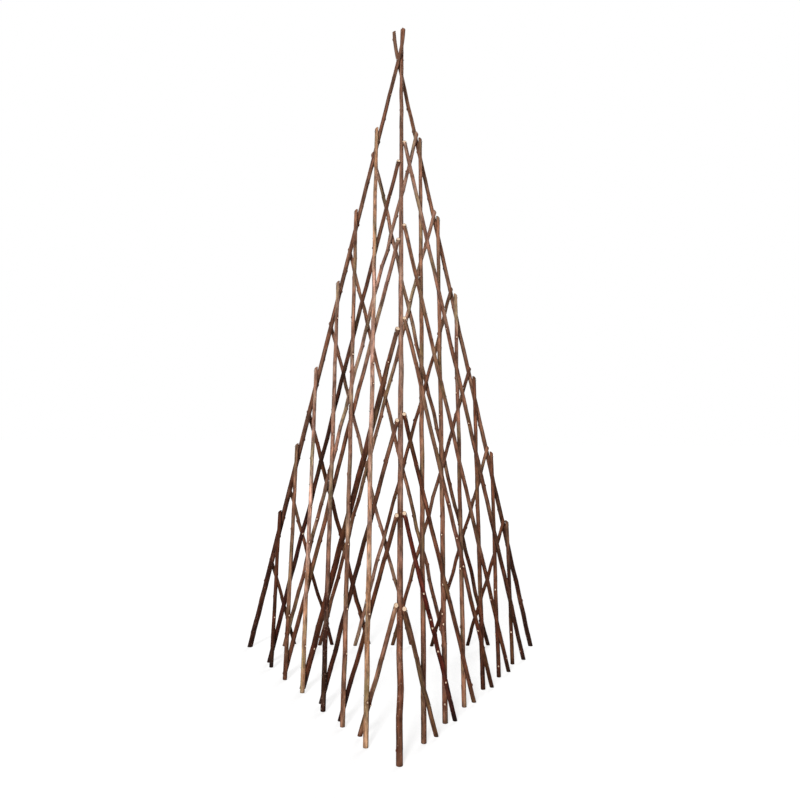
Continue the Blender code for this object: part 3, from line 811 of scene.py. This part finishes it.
def add_stem(work, buds):
    """The rod itself, with its slanting top and its level foot."""
    rod = work.rod
    slope = EDGE_TOP_CUT if rod.edge else TOP_CUT
    top = rod.centre(rod.top)
    outward = rod.angle_of(top - np.array((INSIDE[0], INSIDE[1], top[2])))
    rows = []
    stations = rod_stations(rod, buds)
    for k, t in enumerate(stations):
        row = []
        for side in range(SIDES):
            angle = 2.0 * math.pi * side / SIDES
            point, stain, ring = bark_point(rod, t, angle, buds, work.seed)
            if t < rod.top + CUT_RUN:
                fade = 1.0 - (t - rod.top) / CUT_RUN
                drop = rod.radius(t) * math.tan(slope) * (math.cos(angle - outward) + 1.0)
                point = point + rod.axis * fade * drop
            if k == len(stations) - 1:
                point = point + rod.axis * (rod.foot_height - point[2]) / rod.axis[2]
            row.append(work.vert(point, t, angle, stain, ring))
        rows.append(row)
    for upper, lower in zip(rows, rows[1:]):
        work.bridge(upper, lower)
    work.cap(rows[0], rod.top, 1.0 - BARK_SHARE)
    work.cap(rows[-1], 0.0, 1.0 - BARK_SHARE)


def bark_frame(rod, t, angle, buds, seed):
    """Seat of a bud or twig on the bark: its place and the directions out, up and along."""
    seat, _, _ = bark_point(rod, t, angle, buds, seed)
    out = rod.spoke(angle)
    return seat, out, -rod.axis, np.cross(out, rod.axis)


def add_twig(work, bud, buds):
    """A side twig trimmed close to the bark: a low collar round a pale oval cut."""
    t, angle, size, _ = bud
    seat, out, up, wide = bark_frame(work.rod, t, angle, buds, work.seed)
    radius = TWIG_RADIUS * size
    rows = []
    for height, share in TWIG_PROFILE:
        row = []
        for k in range(TWIG_SIDES):
            turn = 2.0 * math.pi * k / TWIG_SIDES
            reach = radius * share
            point = seat + out * TWIG_HEIGHT * size * height
            point = point + up * TWIG_OVAL * reach * math.sin(turn) + wide * reach * math.cos(turn)
            row.append(work.vert(point, t, angle, COLLAR_STAIN, 0.0))
        rows.append(row)
    for upper, lower in zip(rows, rows[1:]):
        work.bridge(upper, lower)
    work.cap(rows[-1], t, TWIG_RIM)


def add_bud(work, bud, buds):
    """A small pointed bud pressed against the rod, pointing up it."""
    t, angle, size, _ = bud
    seat, out, up, wide = bark_frame(work.rod, t, angle, buds, work.seed)
    rows = []
    for run, share in BUD_PROFILE:
        middle = seat + up * BUD_LENGTH * size * run - out * BUD_SINK
        row = []
        for k in range(BUD_SIDES):
            turn = 2.0 * math.pi * k / BUD_SIDES
            reach = BUD_RADIUS * size * share
            point = middle + out * reach * BUD_FLATNESS * math.sin(turn) + wide * reach * math.cos(turn)
            row.append(work.vert(point, t, angle, 0.0, BUD_SHADE * (1.0 - run)))
        rows.append(row)
    for upper, lower in zip(rows, rows[1:]):
        work.bridge(upper, lower)
    work.bm.faces.new(rows[0])
    work.bm.faces.new(rows[-1])


def tones_of(node):
    tones = BARK.get(node)
    if tones is None:
        family, number = node.rsplit("_", 1)
        tones = BARK[family][int(number) - 1]
    return tones


def build_rod(rod, index, wood):
    rng = random.Random(FIRST_SEED + index)
    seed = index * NOISE_STEP
    value = rng.uniform(*BRIGHTNESS)
    tints = EDGE_TINTS if rod.edge else TINTS
    bark = bark_material(rod.node + "_bark", tones_of(rod.node), tints, value)
    buds = place_buds(rod, rng)
    work = RodMesh(rod, seed)
    add_stem(work, buds)
    for bud in buds:
        if bud[3]:
            add_twig(work, bud, buds)
        else:
            add_bud(work, bud, buds)
    piece = finished(work.bm, rod.node + "_willow", (bark, wood))
    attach(piece, BODY_OF[rod.node])
    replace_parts(piece, rod.node)


# Nails

def add_turned(bm, base, pin, profile):
    """A turned piece along a nail's axis: profile is (height, radius) from its tip."""
    side = unit(np.cross(pin, (0.0, 0.0, 1.0)))
    rise = np.cross(side, pin)
    rows = []
    for height, radius in profile:
        row = []
        for angle in np.linspace(0.0, 2.0 * math.pi, NAIL_SIDES, endpoint=False):
            spoke = math.cos(angle) * side + math.sin(angle) * rise
            row.append(bm.verts.new(base + pin * height + radius * spoke))
        rows.append(row)
    for upper, lower in zip(rows, rows[1:]):
        for a in range(NAIL_SIDES):
            b = (a + 1) % NAIL_SIDES
            bm.faces.new((upper[a], upper[b], lower[b], lower[a]))
    bm.faces.new(rows[0])
    bm.faces.new(rows[-1])


def head_profile(seat):
    """Shank end and flat head with a softened rim, from just under the bark."""
    shank = [(seat + HEAD_HEIGHT * height, SHANK_RADIUS) for height in SHANK_SHOWN]
    head = [(seat + HEAD_HEIGHT * height, HEAD_RADIUS * share) for height, share in HEAD_PROFILE]
    return shank + head


def nail_piece(name, bm, body, steel):
    piece = finished(bm, name, (steel,))
    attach(piece, body)
    return piece


def build_nail_heads(crossings, steel):
    """The heads of the nails that each rod holds fast, one piece for each rod."""
    by_rod = {}
    for face, outer, t_outer, inner, _ in crossings:
        if not (outer.edge and inner.edge):
            by_rod.setdefault(outer.node, []).append((outer, t_outer, PINS[face]))
    for node, nails in by_rod.items():
        bm = bmesh.new()
        for rod, t, pin in nails:
            slant = math.sqrt(1.0 - float(pin @ rod.axis) ** 2)
            add_turned(bm, rod.centre(t), pin, head_profile(rod.radius(t) / slant))
        nail_piece(node + "_nail_heads", bm, BODY_OF[node], steel)


def build_apex_nails(steel):
    """The three loose nails at the apex, on the axes of their solids."""
    for node in frame["nodes"]:
        if not node.startswith("apex_nail"):
            continue
        points = np.array([v.co for v in frame["nodes"][node].data.vertices])
        middle = points.mean(axis=0)
        pin = max(PINS.values(), key=lambda axis: np.ptp(points @ axis))
        heights = (points - middle) @ pin
        spread = np.linalg.norm(points - middle - heights[:, None] * pin, axis=1)
        head_outside = spread[heights > heights.mean()].max() > spread[heights < heights.mean()].max()
        if not head_outside:
            pin, heights = -pin, -heights
        seat = heights.max() - HEAD_HEIGHT
        tip = heights.min()
        shank = [(tip, SHANK_RADIUS * POINT_RADIUS), (tip + POINT_LENGTH, SHANK_RADIUS)]
        bm = bmesh.new()
        add_turned(bm, middle, pin, shank + head_profile(seat))
        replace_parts(nail_piece(node + "_wire", bm, BODY_OF[node], steel), node)


# Stage

def seen_rays(nodes, links):
    """One for rays that should find the plain background: from the camera or a reflection."""
    path = nodes.new("ShaderNodeLightPath")
    total = path.outputs["Is Camera Ray"]
    for name in ("Is Glossy Ray", "Is Transmission Ray"):
        node = nodes.new("ShaderNodeMath")
        node.operation = "MAXIMUM"
        links.new(total, node.inputs[0])
        links.new(path.outputs[name], node.inputs[1])
        total = node.outputs[0]
    return total


def build_floor():
    """A pale floor that keeps the shadow and runs into the background without a line."""
    mesh = bpy.data.meshes.new("floor")
    corners = [(x * FLOOR_HALF, y * FLOOR_HALF, 0.0) for x, y in ((-1, -1), (1, -1), (1, 1), (-1, 1))]
    mesh.from_pydata(corners, [], [(0, 1, 2, 3)])
    floor = bpy.data.objects.new("floor", mesh)
    floor.location.z = -FLOOR_DROP
    bpy.context.scene.collection.objects.link(floor)
    tree = Tree("floor_white")
    tree.shader.inputs["Base Color"].default_value = (FLOOR, FLOOR, FLOOR, 1.0)
    tree.shader.inputs["Roughness"].default_value = FLOOR_ROUGHNESS
    tree.shader.inputs["Specular IOR Level"].default_value = 0.0
    shade = tree.nodes.new("ShaderNodeBsdfDiffuse")
    shade.inputs["Color"].default_value = (FLOOR, FLOOR, FLOOR, 1.0)
    glow = tree.nodes.new("ShaderNodeEmission")
    glow.inputs["Color"].default_value = (1.0, 1.0, 1.0, 1.0)
    glow.inputs["Strength"].default_value = FLOOR_GLOW
    seen = tree.nodes.new("ShaderNodeAddShader")
    tree.links.new(shade.outputs["BSDF"], seen.inputs[0])
    tree.links.new(glow.outputs["Emission"], seen.inputs[1])
    mix = tree.nodes.new("ShaderNodeMixShader")
    tree.links.new(seen_rays(tree.nodes, tree.links), mix.inputs["Fac"])
    tree.links.new(tree.shader.outputs["BSDF"], mix.inputs[1])
    tree.links.new(seen.outputs["Shader"], mix.inputs[2])
    tree.links.new(mix.outputs["Shader"], tree.nodes["Material Output"].inputs["Surface"])
    floor.data.materials.append(tree.material)


def build_world():
    world = bpy.data.worlds.new("studio")
    bpy.context.scene.world = world
    world.use_nodes = True
    nodes, links = world.node_tree.nodes, world.node_tree.links
    sky = nodes["Background"]
    sky.inputs["Color"].default_value = (1.0, 1.0, 1.0, 1.0)
    sky.inputs["Strength"].default_value = SKY
    seen = nodes.new("ShaderNodeBackground")
    seen.inputs["Color"].default_value = (1.0, 1.0, 1.0, 1.0)
    seen.inputs["Strength"].default_value = 1.0
    mix = nodes.new("ShaderNodeMixShader")
    links.new(seen_rays(nodes, links), mix.inputs["Fac"])
    links.new(sky.outputs["Background"], mix.inputs[1])
    links.new(seen.outputs["Background"], mix.inputs[2])
    links.new(mix.outputs["Shader"], nodes["World Output"].inputs["Surface"])


def add_sun(name, place, strength, spread):
    """A wide, even lamp that shines from a place towards the origin."""
    light = bpy.data.lights.new(name, "SUN")
    light.energy = strength
    light.angle = math.radians(spread)
    lamp = bpy.data.objects.new(name, light)
    lamp.location = place
    lamp.rotation_euler = (-Vector(place)).to_track_quat("-Z", "Y").to_euler()
    bpy.context.scene.collection.objects.link(lamp)


def build_camera():
    data = bpy.data.cameras.new("camera")
    data.sensor_width = SENSOR_MM
    data.lens = FOCAL_PIXELS / IMAGE_PIXELS * SENSOR_MM
    camera = bpy.data.objects.new("camera", data)
    camera.location = CAMERA_PLACE
    look = Matrix.Rotation(math.pi / 2.0 + CAMERA_PITCH, 3, "X") @ Matrix.Rotation(CAMERA_ROLL, 3, "Z")
    camera.rotation_euler = (FIT_TURN @ look).to_euler()
    bpy.context.scene.collection.objects.link(camera)
    bpy.context.scene.camera = camera


def main():
    bpy.context.scene.view_settings.view_transform = "Standard"
    rods = [Rod(node) for node in ROD_NODES]
    crossings = find_crossings(rods)
    wood = wood_material()
    steel = steel_material()
    for index, rod in enumerate(rods):
        build_rod(rod, index, wood)
    build_nail_heads(crossings, steel)
    build_apex_nails(steel)
    build_floor()
    build_world()
    for lamp in LAMPS:
        add_sun(*lamp)
    build_camera()


main()
